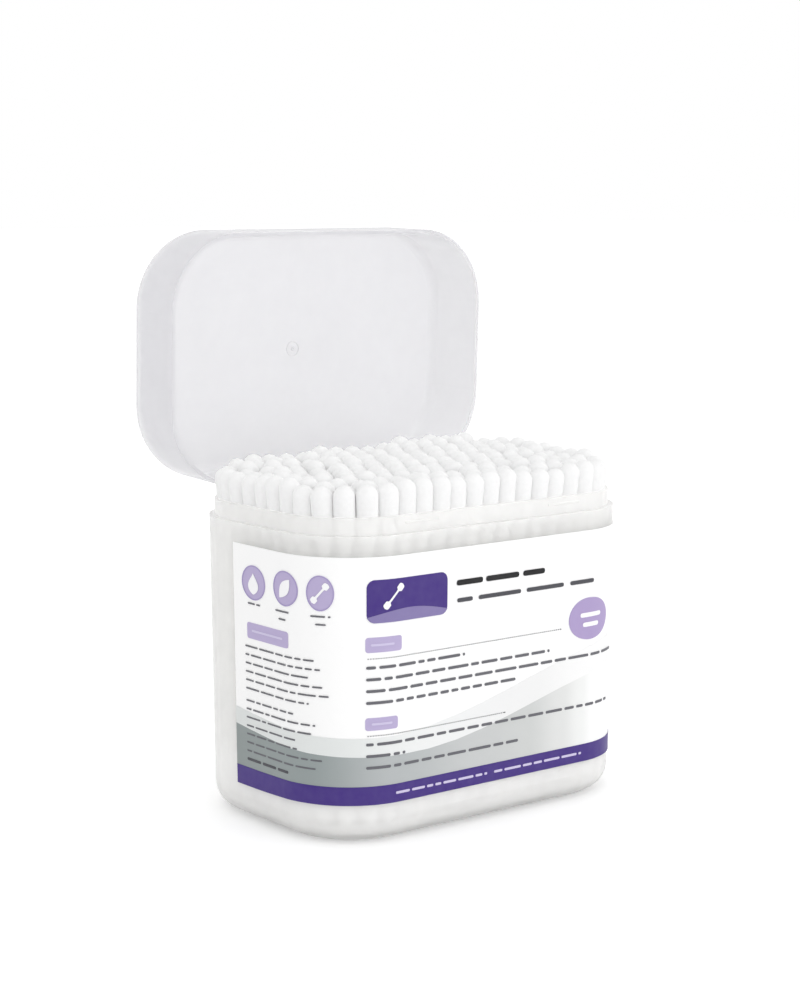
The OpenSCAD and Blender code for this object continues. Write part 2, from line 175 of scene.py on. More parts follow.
def layFloor(s):
    # the floor shades as matte white, and adds a glow of lift * white to the eye
    half = s["floorSize"] * mm / 2
    mesh = bpy.data.meshes.new("floor")
    corners = [(-half, -half, 0), (half, -half, 0), (half, half, 0), (-half, half, 0)]
    mesh.from_pydata(corners, [], [(0, 1, 2, 3)])
    floor = bpy.data.objects.new("floor", mesh)
    scene.collection.objects.link(floor)
    floor.location.z = -s["floorDrop"] * mm
    material, tree, principled = newMaterial("white studio floor")
    tree.nodes.remove(principled)
    matte = addNode(tree, "BsdfDiffuse", {"Color": linearColour(s["floorColour"])})
    glow = addNode(tree, "Emission", {"Color": (1, 1, 1, 1)})
    strength = addNode(
        tree, "Math", {"operation": "MULTIPLY", 1: s["floorLift"]}, {0: whiteToTheEye(tree)}
    )
    tree.links.new(strength.outputs[0], glow.inputs["Strength"])
    both = addNode(tree, "AddShader", {}, {0: matte.outputs[0], 1: glow.outputs[0]})
    tree.links.new(both.outputs[0], tree.nodes["Material Output"].inputs["Surface"])
    mesh.materials.append(material)


lightStudio(studio)
layFloor(studio)
print("camera, lamps and floor placed")


# Milky polypropylene, injection moulded: satin skin, faint cloudiness, and light that passes through
plastic = {
    "tub": {"clear": "#F9F8F6", "cloudy": "#F5F4F1", "alpha": (0.58, 0.66), "roughness": 0.34},
    "lid": {"clear": "#D3D2D7", "cloudy": "#D0CFD4", "alpha": (0.44, 0.47), "roughness": 0.30},
    "floor": {"clear": "#FDFCFA", "cloudy": "#F9F8F5", "alpha": (0.9, 1.0), "roughness": 0.34},
    "passing": 0.12,  # share of the alpha that light meets on its way through the wall
    "edge": 0.35,  # alpha added where the wall is seen edge-on and so is thickest
    "edgeFrom": 0.6,  # how far the wall has to turn away before that starts, 1 being edge-on
    "scatter": 6.0,  # how far light spreads inside the wall
    "scatterShare": 0.6,
    "ior": 1.49,
    "cloud": 9.0,  # size of the cloudy patches
    "cloudRange": (0.3, 0.7),  # the noise values that read as clear and as cloudy
    "grain": 0.35,  # size of the mould's satin grain
    "grainDepth": 0.004,
    "grainStrength": 0.35,
}


def milkyPolypropylene(name, look):
    # the alpha runs from its low to its high value with the cloud noise, and grows towards the wall's edges,
    # where there is more plastic to look through; shadow and diffuse rays meet only the passing share of it
    material, tree, principled = newMaterial(name)
    place = addNode(tree, "TexCoord").outputs["Object"]
    cloud = addNode(
        tree, "TexNoise", {"Scale": 1 / (plastic["cloud"] * mm), "Detail": 3.0, "Roughness": 0.55},
        {"Vector": place},
    )
    colour = addNode(
        tree, "Mix",
        {"data_type": "RGBA", 6: linearColour(look["clear"]), 7: linearColour(look["cloudy"])},
        {0: cloud.outputs["Fac"]},
    )
    tree.links.new(colour.outputs[2], principled.inputs["Base Color"])
    alpha = addNode(
        tree, "MapRange",
        {
            "From Min": plastic["cloudRange"][0], "From Max": plastic["cloudRange"][1],
            "To Min": look["alpha"][0], "To Max": look["alpha"][1],
        },
        {"Value": cloud.outputs["Fac"]},
    )
    grazing = addNode(tree, "LayerWeight", {"Blend": 0.5}).outputs["Facing"]
    thicker = addNode(
        tree, "MapRange", {"From Min": plastic["edgeFrom"], "From Max": 1.0, "To Max": plastic["edge"]},
        {"Value": grazing},
    )
    seen = addNode(
        tree, "Math", {"operation": "ADD", "use_clamp": True}, {0: alpha.outputs[0], 1: thicker.outputs[0]}
    )
    path = addNode(tree, "LightPath")
    inPassing = addNode(
        tree, "Math", {"operation": "MAXIMUM"},
        {0: path.outputs["Is Shadow Ray"], 1: path.outputs["Is Diffuse Ray"]},
    )
    met = addNode(
        tree, "MapRange", {"To Min": 1.0, "To Max": plastic["passing"]}, {"Value": inPassing.outputs[0]}
    )
    dimmed = addNode(tree, "Math", {"operation": "MULTIPLY"}, {0: seen.outputs[0], 1: met.outputs[0]})
    tree.links.new(dimmed.outputs[0], principled.inputs["Alpha"])
    grain = addNode(
        tree, "TexNoise", {"Scale": 1 / (plastic["grain"] * mm), "Detail": 2.0}, {"Vector": place}
    )
    bump = addNode(
        tree, "Bump", {"Strength": plastic["grainStrength"], "Distance": plastic["grainDepth"] * mm},
        {"Height": grain.outputs["Fac"]},
    )
    tree.links.new(bump.outputs[0], principled.inputs["Normal"])
    principled.inputs["Subsurface Weight"].default_value = plastic["scatterShare"]
    principled.inputs["Subsurface Radius"].default_value = (1, 1, 1)
    principled.inputs["Subsurface Scale"].default_value = plastic["scatter"] * mm
    principled.inputs["Roughness"].default_value = look["roughness"]
    principled.inputs["IOR"].default_value = plastic["ior"]
    return material


dress("tub", milkyPolypropylene("moulded polypropylene tub", plastic["tub"]))
floorPlastic = milkyPolypropylene("moulded polypropylene raised floor", plastic["floor"])
lidPlastic = milkyPolypropylene("moulded polypropylene lid", plastic["lid"])
dress("lid", lidPlastic)
print("polypropylene dressed")


# The tub's outer wall, which the label and its print follow
wall = {"width": 88.6, "depth": 57.6, "corner": 18.0, "shoulder": 66.0, "draft": 0.7}


# Label film and inks: satin white film, flexographic ink that keeps the film's own sheen
film = {
    "white": "#FEFEFE",
    "roughness": 0.42,
    "ripple": 14.0,  # how far apart the film's soft ripples lie
    "rippleDepth": 0.02,
    "rippleStrength": 0.5,
    "ior": 1.46,
    "specular": 0.2,
    "bend": 0.57,  # turns X and Y into the distance round the left corner
}
inks = {
    "purple": "#432E7F",
    "lilac": "#B9ADD2",
    "palePurple": "#857AAB",
    "rimLilac": "#A599C5",
    "badgeLilac": "#AD9CC8",
    "white": "#FAFAFC",
    "paleLilac": "#CFC7E4",
    "grey": "#66666C",
    "charcoal": "#4A4A50",
    "black": "#131316",
    "mottle": 0.03,  # how much the ink's strength wanders
    "mottleSize": 2.2,
}
# the fades of the two grey waves, as (distance round the wall from the front's middle, colour)
lightFade = [(-75, "#DCDFDE"), (-45, "#E3E6E5"), (-14, "#EEEFEF"), (10, "#EEEEEE"), (27, "#F6F6F6")]
darkFade = [
    (-75, "#8E9594"), (-50, "#969E9E"), (-28, "#B5B9BA"), (-4, "#C8CACA"), (9, "#CDCFCE"),
    (19, "#DFE0DF"), (25, "#EEEFEE"), (29, "#FAFAFA"),
]


def rippledFilm(tree, principled):
    # the film's own surface, under every ink: its height follows a slow noise
    place = addNode(tree, "TexCoord").outputs["Object"]
    ripple = addNode(
        tree, "TexNoise", {"Scale": 1 / (film["ripple"] * mm), "Detail": 1.0}, {"Vector": place}
    )
    bump = addNode(
        tree, "Bump", {"Strength": film["rippleStrength"], "Distance": film["rippleDepth"] * mm},
        {"Height": ripple.outputs["Fac"]},
    )
    tree.links.new(bump.outputs[0], principled.inputs["Normal"])
    principled.inputs["Roughness"].default_value = film["roughness"]
    principled.inputs["IOR"].default_value = film["ior"]
    principled.inputs["Specular IOR Level"].default_value = film["specular"]
    return place


def printedInk(name, hexCode):
    # the ink's colour, mixed towards the film's white by mottle * noise
    material, tree, principled = newMaterial(name)
    place = rippledFilm(tree, principled)
    mottle = addNode(
        tree, "TexNoise", {"Scale": 1 / (inks["mottleSize"] * mm), "Detail": 2.0}, {"Vector": place}
    )
    share = addNode(
        tree, "Math", {"operation": "MULTIPLY", 1: inks["mottle"]}, {0: mottle.outputs["Fac"]}
    )
    colour = addNode(
        tree, "Mix",
        {"data_type": "RGBA", 6: linearColour(hexCode), 7: linearColour(film["white"])},
        {0: share.outputs[0]},
    )
    tree.links.new(colour.outputs[2], principled.inputs["Base Color"])
    return material


def fadedInk(name, stops):
    # the colour follows s = x - bend * (y + half the depth), close to the distance round the wall
    material, tree, principled = newMaterial(name)
    place = rippledFilm(tree, principled)
    along = addNode(
        tree, "VectorMath", {"operation": "DOT_PRODUCT", 1: (1 / mm, -film["bend"] / mm, 0)}, {0: place}
    )
    low, high = stops[0][0], stops[-1][0]
    offset = film["bend"] * wall["depth"] / 2
    share = addNode(
        tree, "MapRange", {"From Min": low + offset, "From Max": high + offset},
        {"Value": along.outputs["Value"]},
    )
    ramp = addNode(tree, "ValToRGB", {}, {"Fac": share.outputs[0]})
    ramp.color_ramp.interpolation = "EASE"
    elements = ramp.color_ramp.elements
    for s, hexCode in stops[1:-1]:
        elements.new((s - low) / (high - low))
    for element, (s, hexCode) in zip(elements, stops):
        element.color = linearColour(hexCode)
    tree.links.new(ramp.outputs["Color"], principled.inputs["Base Color"])
    return material


printTop = 0.26  # above the printed fields, off the tub wall
printThick = 0.04
markTop = printTop + 0.05  # above the badge's face

dress("label_film", printedInk("white polypropylene film", film["white"]))
dress("print_purple", printedInk("purple ink on film", inks["purple"]))
dress("print_lilac", printedInk("lilac ink on film", inks["lilac"]))
dress("print_light_wave", fadedInk("pale grey ink fading on film", lightFade))
dress("print_dark_wave", fadedInk("slate grey ink fading on film", darkFade))
print("label dressed")


# Print pieces: thin closed sheets on the wall
def wallPoint(s, z, lift):
    # s runs along the front flat, then as an arc of the corner radius round to the side flat;
    # the wall's radius shrinks by the draft below the shoulder, and lift is added to it
    s, z = np.broadcast_arrays(np.asarray(s, float), np.asarray(z, float))
    acrossFlat = wall["width"] / 2 - wall["corner"]
    backFlat = wall["depth"] / 2 - wall["corner"]
    arc = wall["corner"] * math.pi / 2
    radius = wall["corner"] - math.tan(math.radians(wall["draft"])) * (wall["shoulder"] - z) + lift
    past = np.maximum(np.abs(s) - acrossFlat, 0)
    turn = np.minimum(past / wall["corner"], math.pi / 2)
    x = np.sign(s) * (np.minimum(np.abs(s), acrossFlat) + radius * np.sin(turn))
    y = -backFlat - radius * np.cos(turn) + np.maximum(past - arc, 0)
    return np.stack([x, y, z], -1) * mm


def meshPiece(name, points, faces, material, smooth=False):
    # one object from its points, in metres, and its faces, as lists of point numbers
    mesh = bpy.data.meshes.new(name)
    mesh.from_pydata(points.reshape(-1, 3).tolist(), [], faces)
    mesh.materials.append(material)
    mesh.polygons.foreach_set("use_smooth", [smooth] * len(mesh.polygons))
    mesh.update()
    piece = bpy.data.objects.new(name, mesh)
    scene.collection.objects.link(piece)
    return piece


def sheetFaces(rows, columns, start, closed=False):
    # a grid of rows by columns on the outside, its copy behind it, and a strip round the edge
    index = np.arange(rows * columns).reshape(rows, columns) + start
    if closed:
        index = np.vstack([index, index[:1]])
    a, b, c, d = index[:-1, :-1], index[1:, :-1], index[1:, 1:], index[:-1, 1:]
    outside = np.stack([a, b, c, d], -1).reshape(-1, 4)
    back = rows * columns
    inside = outside[:, ::-1] + back
    edges = [index[:, 0][::-1], index[:, -1]]
    if not closed:
        edges += [index[0], index[-1][::-1]]
    strips = [np.stack([e[:-1], e[1:], e[1:] + back, e[:-1] + back], -1) for e in edges]
    return np.vstack([outside, inside, *strips])


def printSheets(name, sheets, material, lift=printTop, thick=printThick):
    # each sheet is (s grid, z grid, closed); rows run along s, columns run up in z. Its inside lies off the
    # tub's wall by the lift, and its outside by lift + thick
    points, faces, count = [], [], 0
    for s, z, closed in sheets:
        rows, columns = s.shape
        outside = wallPoint(s, z, lift + thick).reshape(-1, 3)
        inside = wallPoint(s, z, lift).reshape(-1, 3)
        points += [outside, inside]
        faces.append(sheetFaces(rows, columns, count, closed))
        count += 2 * rows * columns
    piece = meshPiece(name, np.vstack(points), np.vstack(faces).tolist(), material)
    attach(piece, "base")
    return piece


# The purple band's uneven edges: the print runs a little low on the left side and high on the front
bandEdges = {
    "end": 72.3,  # the film's end
    "turn": (-66, -46),  # where the low part turns into the high part
    "drop": (0.9, 0.45),  # below the film's foot, at either part
    "rise": (0.04, 0.28),  # above the band, at either part
    "foot": 9.4, "top": 12.7, "lift": 0.02, "thick": 0.24,
    "steps": 181,
}


def bandStrips(b):
    # both edges follow 3 u^2 - 2 u^3, where u runs from 0 to 1 over the turn
    s = np.linspace(-b["end"], b["end"], b["steps"])[:, None]
    u = np.clip((s - b["turn"][0]) / (b["turn"][1] - b["turn"][0]), 0, 1)
    share = u * u * (3 - 2 * u)
    drop = b["drop"][0] + (b["drop"][1] - b["drop"][0]) * share
    rise = b["rise"][0] + (b["rise"][1] - b["rise"][0]) * share
    across = np.array([[0, 0.5, 1]])
    s = np.repeat(s, across.size, 1)
    return (s, b["foot"] - drop * (1 - across), False), (s, b["top"] + rise * across, False)


purpleInk = nodes["print_purple"].data.materials[0]
footStrip, topStrip = bandStrips(bandEdges)
bandFoot = printSheets("band_foot", [footStrip], purpleInk, bandEdges["lift"], bandEdges["thick"])
bandTop = printSheets("band_top", [topStrip], purpleInk)


# The raised floor the swabs stand on: a slab that follows the tub's hollow
raisedFloor = {
    "rings": [(1.65, 2.8), (2.2, 1.8), (3.4, 1.25), (3.8, 1.25)],  # height, and distance in from the wall
    "along": 24,  # steps round each quarter
}


def slabPiece(r):
    # rings round the wall, a quarter at a time and mirrored, closed by a fan above and below; a quarter is
    # half the width + half the depth, less what the rounded corner saves, (2 - pi / 2) * its radius
    quarter = (wall["width"] + wall["depth"]) / 2 - (2 - math.pi / 2) * wall["corner"]
    s = np.linspace(0, quarter, r["along"])
    rings = []
    for z, inset in r["rings"]:
        corner = wallPoint(s, z, -inset)
        right = np.vstack([corner, (corner * [1, -1, 1])[::-1][1:]])
        rings.append(np.vstack([right, (right * [-1, 1, 1])[::-1][1:-1]]))
    around = len(rings[0])
    middles = [[0, 0, z * mm] for z in (r["rings"][0][0], r["rings"][-1][0])]
    index = np.arange(len(rings) * around).reshape(len(rings), around)
    nextOne = np.roll(index, -1, axis=1)
    faces = np.stack([index[:-1], nextOne[:-1], nextOne[1:], index[1:]], -1).reshape(-1, 4).tolist()
    faces += [[len(rings) * around, b, a] for a, b in zip(index[0], nextOne[0])]
    faces += [[len(rings) * around + 1, a, b] for a, b in zip(index[-1], nextOne[-1])]
    piece = meshPiece("raised_floor", np.vstack([*rings, middles]), faces, floorPlastic)
    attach(piece, "base")


slabPiece(raisedFloor)
print("raised floor laid")


# The gate mark inside the lid's top, where the plastic entered the mould: a low ring round a nib
gate = {
    "ring": (1.7, 0.17), "nib": (0.30, 0.28),  # radius of each, and radius of its rounded section
    "ceiling": 82.25,  # height of the lid's inner face while it is shut
    "hinge": (31.9, 66.5),  # Y and Z of its axis
    "open": 88,  # degrees
}


def gateRing(g, size, around=40, across=8):
    # a torus half sunk into the inner face, then swung open about the hinge with the lid
    turn = np.linspace(0, 2 * math.pi, around, endpoint=False)[:, None]
    bend = np.linspace(0, 2 * math.pi, across, endpoint=False)[None, :]
    radius = size[0] + size[1] * np.cos(bend)
    x, y = radius * np.cos(turn), radius * np.sin(turn) - g["hinge"][0]
    z = g["ceiling"] - g["hinge"][1] + size[1] * np.sin(bend) + 0 * turn
    swing = math.radians(g["open"])
    y, z = y * math.cos(swing) + z * math.sin(swing), z * math.cos(swing) - y * math.sin(swing)
    points = np.stack([x, y + g["hinge"][0], z + g["hinge"][1]], -1) * mm
    index = np.arange(around * across).reshape(around, across)
    nextRound, nextAcross = np.roll(index, -1, axis=0), np.roll(index, -1, axis=1)
    both = np.roll(nextRound, -1, axis=1)
    return points.reshape(-1, 3), np.stack([index, nextRound, both, nextAcross], -1).reshape(-1, 4)


ringPoints, ringFaces = gateRing(gate, gate["ring"])
nibPoints, nibFaces = gateRing(gate, gate["nib"])
gatePiece = meshPiece(
    "gate_mark", np.vstack([ringPoints, nibPoints]),
    np.vstack([ringFaces, nibFaces + len(ringPoints)]).tolist(), lidPlastic, smooth=True,
)
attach(gatePiece, "lid")
print("gate mark made")


# Print without letters: every word is a plain bar with rounded ends. A style whose words are longer than any
# line draws each line as one bar
wordStyles = {
    "small": {"half": 0.31, "word": (1.5, 6.4), "space": 0.75},
    "side": {"half": 0.18, "word": (1.4, 5.4), "space": 0.6},
    "sideBold": {"half": 0.30, "word": (2.4, 5.6), "space": 0.7},
    "title": {"half": 0.60, "word": (99, 100), "space": 0},
    "script": {"half": 0.46, "word": (99, 100), "space": 0},
    "dots": {"half": 0.11, "word": (0.26, 0.27), "space": 0.32},
    "tag": {"half": 0.24, "word": (99, 100), "space": 0},
    "band": {"half": 0.27, "word": (1.2, 4.8), "space": 0.6},
}
wordShape = {
    "leastRows": 7, "rowsAtEnds": 6, "rowStep": 1.2,
    "rounding": 0.75,  # the corners' radius, as a share of the half-height
    "shortest": 1.6,  # a word with fewer half-heights than this before the line's end is left out
    "draws": 200,  # word lengths drawn for a line, more than any line holds
}


def wordSheet(start, end, height, half):
    # rows close up towards the ends, where the half-height follows a quarter circle
    count = int((end - start) / wordShape["rowStep"]) + wordShape["rowsAtEnds"]
    count = max(wordShape["leastRows"], count)
    s = (start + end) / 2 - (end - start) / 2 * np.cos(np.linspace(0, math.pi, count))
    rounding = min(wordShape["rounding"] * half, (end - start) / 2)
    inFromEnd = np.minimum(np.minimum(s - start, end - s), rounding)
    rise = half - rounding + np.sqrt(np.maximum(rounding**2 - (rounding - inFromEnd) ** 2, 0))
    return np.repeat(s[:, None], 3, 1), height + rise[:, None] * np.array([-1, 0, 1]), False


def lineSheets(style, start, end, height, rng):
    # word lengths are drawn evenly between the style's two limits, and the last word ends the line
    look = wordStyles[style]
    lengths = rng.uniform(*look["word"], size=wordShape["draws"])
    starts = start + np.concatenate([[0], np.cumsum(lengths + look["space"])[:-1]])
    used = starts < end - look["half"] * wordShape["shortest"]
    starts, ends = starts[used], (starts + lengths)[used]
    ends[-1] = end
    return [wordSheet(a, b, height, look["half"]) for a, b in zip(starts, np.minimum(ends, end))]


def linePiece(name, runs, material, seed):
    # one piece from runs of (style, start, end, height), with the word lengths drawn from its own seed
    rng = np.random.default_rng(seed)
    sheets = []
    for run in runs:
        sheets += lineSheets(*run, rng)
    return printSheets(name, sheets, material)


# each line is (style, start, end, height), with start and end as distances round the wall
frontLines = [
    ("small", -34.6, -9.1, 38.4), ("small", -34.6, 15.3, 35.9), ("small", -34.6, 37.3, 33.4),
    ("small", -34.6, 5.4, 30.9), ("small", -34.6, 35.2, 22.0), ("small", -34.6, -25.2, 19.5),
    ("small", -34.6, 6.4, 17.0),
]
ruleLines = [("dots", -34.3, 18.7, 40.3), ("dots", -34.3, 2.6, 23.85)]
titleLines = [("title", -11.6, -4.3, 54.1), ("title", -3.4, 6.0, 54.1), ("title", 7.2, 13.5, 54.1)]
scriptLines = [
    ("script", -11.4, -7.1, 50.3), ("script", -5.4, 6.6, 50.3), ("script", 8.3, 19.2, 50.3),
    ("script", 21.2, 28.4, 50.3),
]
# each block of side lines has its first line's height and then where each line ends
sideBlocks = {
    "start": -68.2,
    "pitch": 1.86,
    "upper": (39.7, [-45.8, -44.4, -47.2, -43.9, -42.5, -47.1]),
    "lower": (27.7, [-51.3, -45.6, -46.6, -50.8, -50.3, -44.1, -45.6]),
    "last": ("sideBold", -68.2, -53.1, 14.68),
    "captions": [(-66.9, -62.4, 49.2), (-56.7, -52.2, 49.2), (-55.6, -53.2, 47.5),
                 (-46.5, -42.0, 49.2), (-45.4, -43.0, 47.5)],
    "right": (45.2, [(46.6, [66.0, 63.5, 67.1, 58.3]), (35.6, [65.2, 67.4, 62.8, 66.1, 56.0])]),
}
sideLines = [
    ("side", sideBlocks["start"], end, block[0] - sideBlocks["pitch"] * i)
    for block in (sideBlocks["upper"], sideBlocks["lower"])
    for i, end in enumerate(block[1])
]
sideLines += [("side", *caption) for caption in sideBlocks["captions"]]
rightStart, rightBlocks = sideBlocks["right"]
sideLines += [
    ("side", rightStart, end, top - sideBlocks["pitch"] * i)
    for top, ends in rightBlocks
    for i, end in enumerate(ends)
]

greyInk = printedInk("grey ink on film", inks["grey"])
charcoalInk = printedInk("charcoal ink on film", inks["charcoal"])
blackInk = printedInk("black ink on film", inks["black"])
whiteInk = printedInk("unprinted white in the ink", inks["white"])
smallPrint = linePiece("small_print", frontLines + sideLines, greyInk, 11)
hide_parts("print_lines")
titlePrint = linePiece("title_print", titleLines, blackInk, 5)
scriptPrint = linePiece("script_print", scriptLines + ruleLines + [sideBlocks["last"]], charcoalInk, 6)
palePrint = linePiece(
    "pale_print",
    [("band", -27.6, -2.4, 11.0), ("band", -0.4, 25.4, 11.0), ("tag", -33.6, -28.2, 43.2),
     ("tag", -33.4, -28.6, 26.35), ("tag", -65.6, -54.3, 43.3)],
    printedInk("pale lilac ink on film", inks["paleLilac"]), 23,
)
print("small print laid")


# Plain marks in white: a drop, a leaf and swabs stand where the label carries pictograms
def markSheet(place, tilt, length, halfWidth, columns=5):
    # a strip of varying half-width along an axis tilted from upright
    along = np.linspace(-0.5, 0.5, len(halfWidth))[:, None] * length
    across = np.linspace(-1, 1, columns)[None, :] * np.asarray(halfWidth)[:, None]
    turn = math.radians(tilt)
    s = place[0] + along * math.sin(turn) - across * math.cos(turn)
    z = place[1] + along * math.cos(turn) + across * math.sin(turn)
    return s, z, False


def ovalRing(place, half, inner, outer, columns=3, around=48):
    # points at half-width * share * sin and half-height * share * cos of the turn, with the share running
    # from inner to outer
    turn = np.linspace(0, 2 * math.pi, around, endpoint=False)[:, None]
    share = np.linspace(inner, outer, columns)[None, :]
    return place[0] + half[0] * share * np.sin(turn), place[1] + half[1] * share * np.cos(turn), True


# places are (distance round the wall, height), and tilts are degrees from upright
leafMarks = [
    {"place": (-64.7, 53.6), "tilt": 0, "length": 4.6, "width": 2.56, "belly": 0.75, "taper": 0.55},
    {"place": (-53.4, 54.2), "tilt": 38, "length": 5.2, "width": 1.4, "belly": 0.9, "taper": 0},
]
swabMarks = [
    {"place": (-44.3, 54.1), "tilt": 42, "length": 5.4, "tip": 0.72, "stem": 0.24},
    {"place": (-28.4, 53.2), "tilt": 42, "length": 6.6, "tip": 0.72, "stem": 0.22},
]
markShape = {
    "point": 0.004,  # share of a leaf's length cut off at either end
    "neck": 0.42, "nose": 0.84,  # where a swab's tip starts and where its end starts to round
    "turn": 0.16,  # what the neck and the nose each take
    "blunt": 0.0004,
}
badge = {
    "place": (27.5, 41.7), "half": (6.5, 4.75),
    "rings": (0.002, 1.0, 7),  # the first and last one's share of the half-sizes, and their number
    "bars": [(24.4, 31.0, 42.6), (25.2, 30.2, 40.4)], "barHalf": 0.5,
}
roundels = {
    "places": [(-64.7, 53.8), (-53.4, 54.2), (-44.3, 54.1)],
    "halves": [(4.3, 3.75), (3.9, 3.75), (3.1, 3.75)],
    "rim": (0.93, 1.0),
}


def leafOutline(mark, steps=31):
    # half-width: width * sin(pi u) to the power of the belly * (1 - u) to the power of the taper, with u
    # running up the axis from 0 to 1; a taper makes it a drop
    u = np.linspace(markShape["point"], 1 - markShape["point"], steps)
    return mark["width"] * np.sin(math.pi * u) ** mark["belly"] * (1 - u) ** mark["taper"]


def swabOutline(mark, steps=41):
    # half-width, where u runs from 0 in the middle to 1 at either end: the stem's, or the tip's times
    # 3 v^2 - 2 v^3 over the neck, and the nose is a quarter circle
    u = np.abs(np.linspace(-1, 1, steps))
    v = np.clip((u - markShape["neck"]) / markShape["turn"], 0, 1)
    past = np.clip(u - markShape["nose"], 0, 1) / markShape["turn"]
    nose = np.sqrt(np.clip(1 - past**2, markShape["blunt"], 1))
    return np.maximum(mark["tip"] * v**2 * (3 - 2 * v), mark["stem"]) * nose


whiteMarks = [markSheet(m["place"], m["tilt"], m["length"], leafOutline(m)) for m in leafMarks]
whiteMarks += [markSheet(m["place"], m["tilt"], m["length"], swabOutline(m)) for m in swabMarks]
whiteMarks += [wordSheet(a, b, z, badge["barHalf"]) for a, b, z in badge["bars"]]
whitePiece = printSheets("white_marks", whiteMarks, whiteInk, markTop)
badgePiece = printSheets(
    "badge_face", [ovalRing(badge["place"], badge["half"], *badge["rings"])],
    printedInk("mid lilac ink on film", inks["badgeLilac"]),
)
rimPiece = printSheets(
    "roundel_rims",
    [ovalRing(p, h, *roundels["rim"]) for p, h in zip(roundels["places"], roundels["halves"])],
    printedInk("deeper lilac ink on film", inks["rimLilac"]),
)

# the panel's lighter foot, under a low crest
panelFoot = {
    "left": -34.5, "right": -14.1, "bottom": 47.8, "round": 1.8, "edge": 49.0, "crest": 1.5,
    "inset": 0.03,  # in from either end
    "least": 0.05,  # the height that is kept where a corner meets the crest
}


def footSheet(p, steps=41):
    # from the bottom, with a quarter circle at either corner, up to edge + crest * half a sine wave
    s = np.linspace(p["left"] + p["inset"], p["right"] - p["inset"], steps)
    inFromEnd = np.minimum(s - p["left"], p["right"] - s)
    rounding = p["round"] - np.sqrt(
        np.maximum(p["round"] ** 2 - np.maximum(p["round"] - inFromEnd, 0) ** 2, 0)
    )
    top = p["edge"] + p["crest"] * np.sin(math.pi * (s - p["left"]) / (p["right"] - p["left"]))
    low = np.minimum(p["bottom"] + rounding, top - p["least"])
    share = np.linspace(0, 1, 4)
    return np.repeat(s[:, None], share.size, 1), low[:, None] + (top - low)[:, None] * share, False


footPiece = printSheets(
    "panel_foot", [footSheet(panelFoot)], printedInk("pale purple ink on film", inks["palePurple"])
)
print("label marks laid")


# Swabs: cotton wound on the stem's ends, each tip a little different, and rolled paper stems
cotton = {
    "radius": 2.46, "length": 13.0, "nose": 2.5, "neck": 4.5, "neckRadius": 1.5,
    "around": 12,
    "noseRings": (0.12, 0.42, 0.72, 0.92),  # shares of the nose
    "barrelRings": (4.2, 6.4),
    "neckRings": (0.62, 0.3, 0.0),  # shares of the neck, up from its end
    "lump": 0.032,  # how deep the winding's waves are, as a share of the radius
    "lumpLevel": 0.5,  # taken off the waves, so that they dent a tip more than they swell it
    "waves": [(2, 0.5, 1.0), (3, -0.8, 1.0), (5, 1.3, 0.7)],  # waves round, turn per mm down, strength
    "wander": 0.015,  # how much a tip's radius varies, by chance
    "wanderLevel": 1.4,  # taken off the chance, which runs to 2, so that most tips come out thinner
    "lean": 0.2,
    "rise": (-0.9, 0.6),  # how far a nose stands above or below the CAD tip's, by chance
    "backRise": 1.9,  # and how much more at the back right, where the swabs stand higher
    "riseAlong": (-1.0, 0.4),  # where that starts and is full, from -1 at the left to 1 at the right
    "splay": 0.8,  # how far the outermost noses lean out over the collar
    "footing": 2.3,  # how far the raised floor holds the lower noses above the CAD tips'
    "footShare": 1 / 3,  # how much of a nose's chance drop is kept on the raised floor
    "freeLength": 7.0,  # what stands free above the collar
    "white": "#FAFAFA", "shade": "#F2F2F2",
    "fibre": 0.16, "tuft": 0.9, "fibreShare": 0.45,
    "fuzzDepth": 0.06, "fuzzStrength": 0.6,
    "roughness": 0.95, "specular": 0.2, "sheen": 0.3, "sheenRoughness": 0.6,
    "scatter": 0.9, "scatterShare": 0.4,
}
paper = {
    "white": "#F8F8F6", "shade": "#EDEDEA", "roughness": 0.8,
    "grain": (0.3, 0.3, 4.0),  # size of the grain across and along the stem
}


def cottonFibre():
    # wound cotton, matte white with a soft sheen: the height is tuft noise + fibre share * fibre noise, and
    # the colour runs from shade to white with the tufts
    material, tree, principled = newMaterial("wound cotton fibre")
    place = addNode(tree, "TexCoord").outputs["Object"]
    fibre = addNode(
        tree, "TexNoise", {"Scale": 1 / (cotton["fibre"] * mm), "Detail": 3.0, "Distortion": 0.6},
        {"Vector": place},
    )
    tuft = addNode(
        tree, "TexNoise", {"Scale": 1 / (cotton["tuft"] * mm), "Detail": 2.0}, {"Vector": place}
    )
    height = addNode(
        tree, "Math", {"operation": "MULTIPLY_ADD", 1: cotton["fibreShare"]},
        {0: fibre.outputs["Fac"], 2: tuft.outputs["Fac"]},
    )
    bump = addNode(
        tree, "Bump", {"Strength": cotton["fuzzStrength"], "Distance": cotton["fuzzDepth"] * mm},
        {"Height": height.outputs[0]},
    )
    colour = addNode(
        tree, "Mix",
        {"data_type": "RGBA", 6: linearColour(cotton["shade"]), 7: linearColour(cotton["white"])},
        {0: tuft.outputs["Fac"]},
    )
    tree.links.new(colour.outputs[2], principled.inputs["Base Color"])
    tree.links.new(bump.outputs[0], principled.inputs["Normal"])
    principled.inputs["Roughness"].default_value = cotton["roughness"]
    principled.inputs["Specular IOR Level"].default_value = cotton["specular"]
    principled.inputs["Sheen Weight"].default_value = cotton["sheen"]
    principled.inputs["Sheen Roughness"].default_value = cotton["sheenRoughness"]
    principled.inputs["Subsurface Weight"].default_value = cotton["scatterShare"]
    principled.inputs["Subsurface Radius"].default_value = (1, 1, 1)
    principled.inputs["Subsurface Scale"].default_value = cotton["scatter"] * mm
    return material


